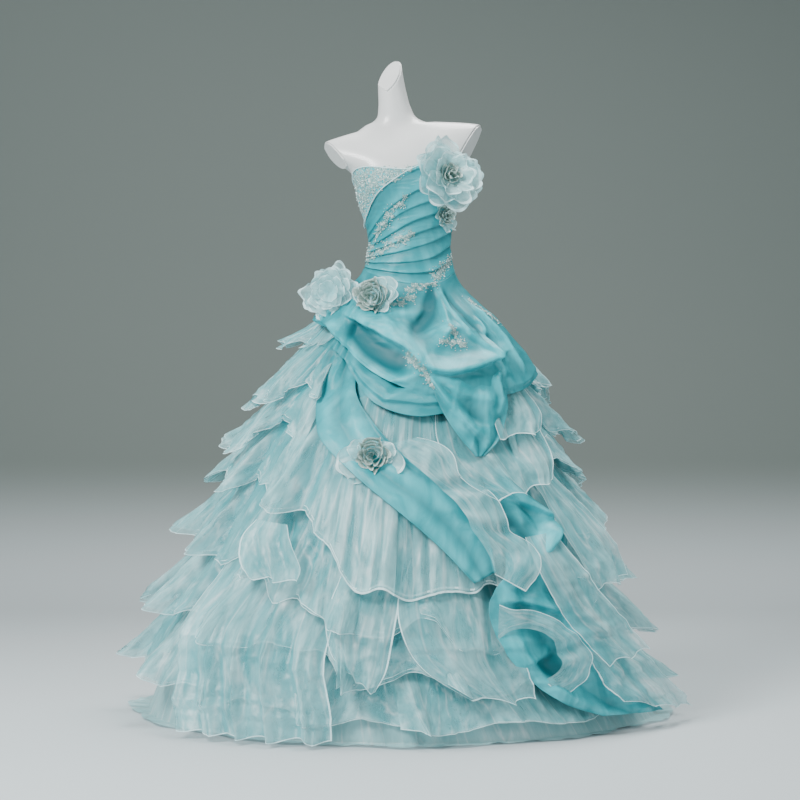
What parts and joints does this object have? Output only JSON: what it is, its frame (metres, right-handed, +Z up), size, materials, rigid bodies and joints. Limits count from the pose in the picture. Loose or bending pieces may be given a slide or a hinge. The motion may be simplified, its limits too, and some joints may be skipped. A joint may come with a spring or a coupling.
{
  "type": "evening dress on a dress form",
  "caption": "Strapless full-length gown: pleated satin bodice, picked-up satin overskirt, sheer ruffled skirt and fabric flowers, worn on a limbless dress form on a stand.",
  "frame": {"origin": "centre of the stand's round base, where it rests on the floor", "axes": "+Z up along the stand's pole; the gown's front faces -Y; +X is right in a front view"},
  "size_m": [1.4118, 1.3397, 1.6624],
  "materials": {
    "satin": "glossy woven duchess satin",
    "organza": "crisp sheer organza with a soft shine",
    "beaded_lace": "corded lace with small beads over satin",
    "lining": "plain woven lining seen through the organza",
    "petticoat": "pale stiff tulle with a soft shine",
    "rose_ribbon": "frayed ribbon and mesh petals, matt",
    "form_white": "smooth white, slightly glossy",
    "stand_metal": "satin grey paint"
  },
  "bodies": {
    "root": {"stand_base": "stand_metal", "stand_pole": "stand_metal", "form_torso": "form_white", "form_arm_cap_left": "form_white", "form_arm_cap_right": "form_white", "form_neck_cap": "form_white", "bodice_wrap": "satin", "bodice_cup": "beaded_lace", "bodice_back_left": "satin", "bodice_back_right": "satin", "back_zip": "satin", "underskirt": "lining", "floor_flounce": "petticoat", "overskirt": "satin", "overskirt_swag": "satin", "leaf_panel": "satin", "right_panel": "satin", "satin_cascade": "satin", "shoulder_flower": "organza", "hip_flower": "organza", "shoulder_rose": "rose_ribbon", "hip_rose": "rose_ribbon", "skirt_rose": "rose_ribbon", "ruffle_1": "organza", "ruffle_2": "organza", "ruffle_3": "organza", "ruffle_4": "organza", "ruffle_5": "organza", "ruffle_6": "organza", "ruffle_7": "organza"}
  },
  "joints": []
}
